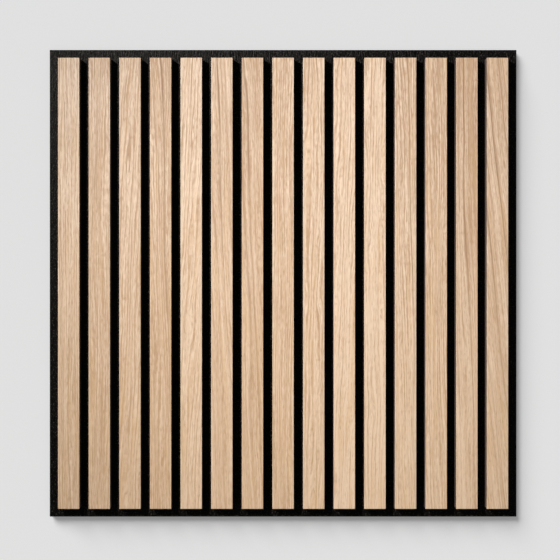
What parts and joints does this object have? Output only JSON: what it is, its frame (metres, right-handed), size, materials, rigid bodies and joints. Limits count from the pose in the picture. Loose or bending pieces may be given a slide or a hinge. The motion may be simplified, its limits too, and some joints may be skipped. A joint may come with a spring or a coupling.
{
  "type": "wood slat ceiling panel",
  "caption": "Square lay-in acoustic ceiling panel: parallel oak-veneered slats with dark fibreboard sides, evenly spaced and stapled on a black felt backing with a bare rim.",
  "frame": {"origin": "middle of the felt's back face, which is the face the panel lies on", "axes": "+Z out of the slats' oak faces, +Y along the slats, +X across them"},
  "size_m": [0.595, 0.595, 0.021],
  "materials": {
    "felt": "needled fibre, matt",
    "fibreboard": "sawn, matt",
    "oak": "sanded, matt lacquer",
    "steel": "galvanised wire"
  },
  "bodies": {
    "root": {"felt_backing": "felt", "slat_core_01": "fibreboard", "slat_core_02": "fibreboard", "slat_core_03": "fibreboard", "slat_core_04": "fibreboard", "slat_core_05": "fibreboard", "slat_core_06": "fibreboard", "slat_core_07": "fibreboard", "slat_core_08": "fibreboard", "slat_core_09": "fibreboard", "slat_core_10": "fibreboard", "slat_core_11": "fibreboard", "slat_core_12": "fibreboard", "slat_core_13": "fibreboard", "slat_core_14": "fibreboard", "slat_core_15": "fibreboard", "slat_veneer_01": "oak", "slat_veneer_02": "oak", "slat_veneer_03": "oak", "slat_veneer_04": "oak", "slat_veneer_05": "oak", "slat_veneer_06": "oak", "slat_veneer_07": "oak", "slat_veneer_08": "oak", "slat_veneer_09": "oak", "slat_veneer_10": "oak", "slat_veneer_11": "oak", "slat_veneer_12": "oak", "slat_veneer_13": "oak", "slat_veneer_14": "oak", "slat_veneer_15": "oak", "staples": "steel"}
  },
  "joints": []
}
